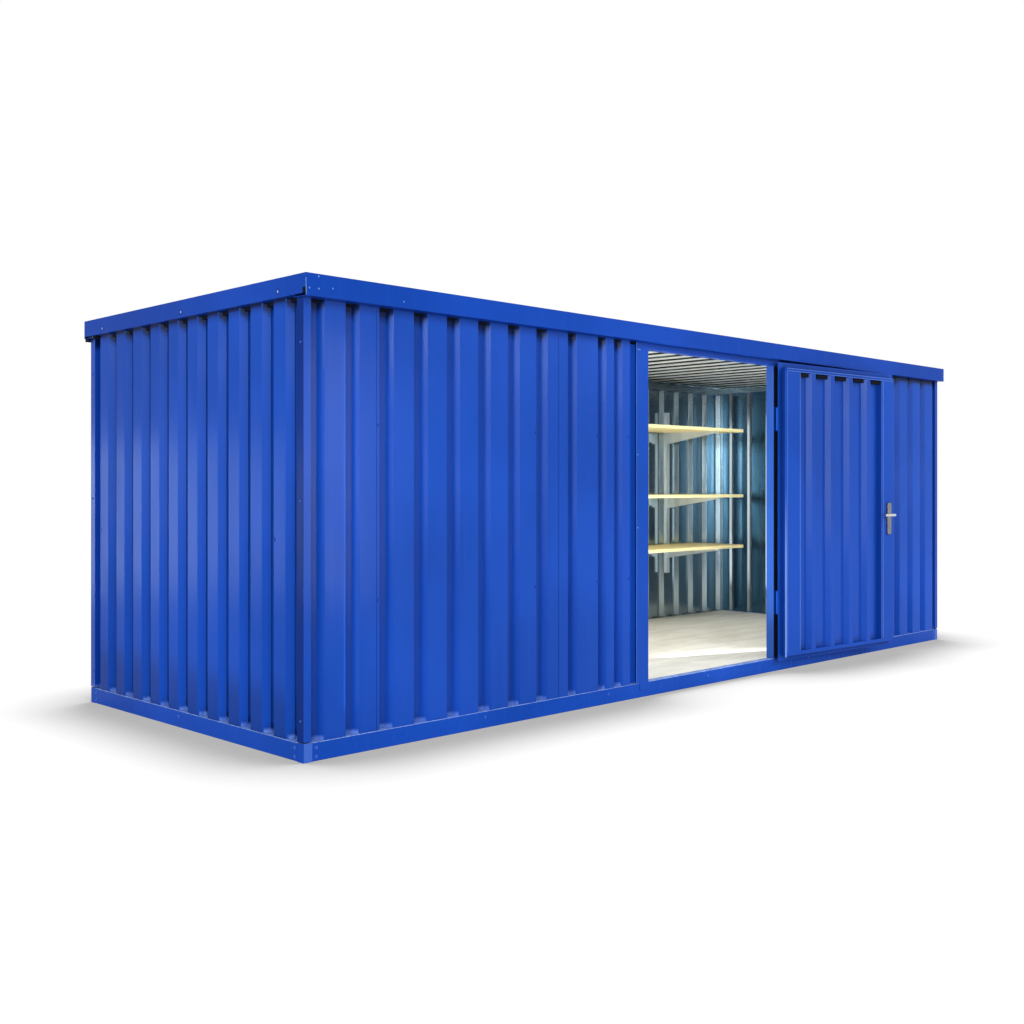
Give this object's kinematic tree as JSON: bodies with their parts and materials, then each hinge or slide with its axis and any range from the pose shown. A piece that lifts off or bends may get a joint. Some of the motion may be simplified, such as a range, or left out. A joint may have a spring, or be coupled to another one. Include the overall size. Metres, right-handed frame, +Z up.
{
  "type": "demountable storage container",
  "caption": "Hollow storage container of profiled steel sheet on a channel base, with an outward-opening hinged door, lever handle, board floor and wall shelving.",
  "frame": {"origin": "on the ground, at the centre of the container's footprint, midway between its long sides and between its ends; the open door is not counted", "axes": "+X along the long side, to the right seen from the door side; -Y out through the doorway; +Z up"},
  "size_m": [6.08, 2.3375, 2.15],
  "materials": {
    "wall_paint": "semi-gloss blue paint on profiled sheet",
    "frame_paint": "semi-gloss blue paint on folded frame parts",
    "galvanised": "galvanised",
    "stainless": "brushed",
    "shelf_wood": "pale raw board",
    "floor_board": "grey-beige coated board"
  },
  "bodies": {
    "container": {"base_rail_front": "frame_paint", "base_rail_rear": "frame_paint", "base_rail_left": "frame_paint", "base_rail_right": "frame_paint", "base_corner_blocks": "frame_paint", "floor_joists": "galvanised", "floor_panel_left": "floor_board", "floor_panel_middle": "floor_board", "floor_panel_right": "floor_board", "corner_post_front_left": "wall_paint", "corner_post_front_right": "wall_paint", "corner_post_rear_left": "wall_paint", "corner_post_rear_right": "wall_paint", "door_post_left": "wall_paint", "door_post_right": "wall_paint", "door_header": "wall_paint", "wall_front_corner_sheet": "wall_paint", "wall_front_main_sheet": "wall_paint", "wall_front_closing_sheet": "wall_paint", "wall_front_right_inner_sheet": "wall_paint", "wall_front_right_outer_sheet": "wall_paint", "wall_rear_left_sheet": "wall_paint", "wall_rear_middle_sheet": "wall_paint", "wall_rear_right_sheet": "wall_paint", "wall_end_left": "wall_paint", "wall_end_right": "wall_paint", "roof_profile_front": "wall_paint", "roof_profile_rear": "wall_paint", "roof_end_left": "wall_paint", "roof_end_right": "wall_paint", "roof_sheet_left": "galvanised", "roof_sheet_middle": "galvanised", "roof_sheet_right": "galvanised", "shelf_uprights": "galvanised", "shelf_brackets": "galvanised", "shelf_board_low": "shelf_wood", "shelf_board_middle": "shelf_wood", "shelf_board_top": "shelf_wood", "hinge_frame_halves": "frame_paint"},
    "door_leaf": {"door_sheet": "wall_paint", "door_hinge_stile": "wall_paint", "door_lock_stile": "wall_paint", "door_top_rail": "wall_paint", "door_bottom_rail": "wall_paint", "door_hinge_halves": "frame_paint", "door_escutcheons": "stainless", "door_lock": "stainless"},
    "door_handle": {"door_lever": "stainless"}
  },
  "joints": [
    {"name": "door_hinge", "type": "hinge", "parent": "container", "child": "door_leaf", "pos_m": [0.692, -1.062, 1.05], "axis": [0, 0, 1], "range_deg": [-176, 0]},
    {"name": "lever_turn", "type": "hinge", "parent": "door_leaf", "child": "door_handle", "pos_m": [1.93696, -1.14906, 1.011], "axis": [-0.0698, -0.9976, 0], "range_deg": [0, 45], "stiffness_Nm_per_rad": 2, "springref_deg": -17.19}
  ]
}
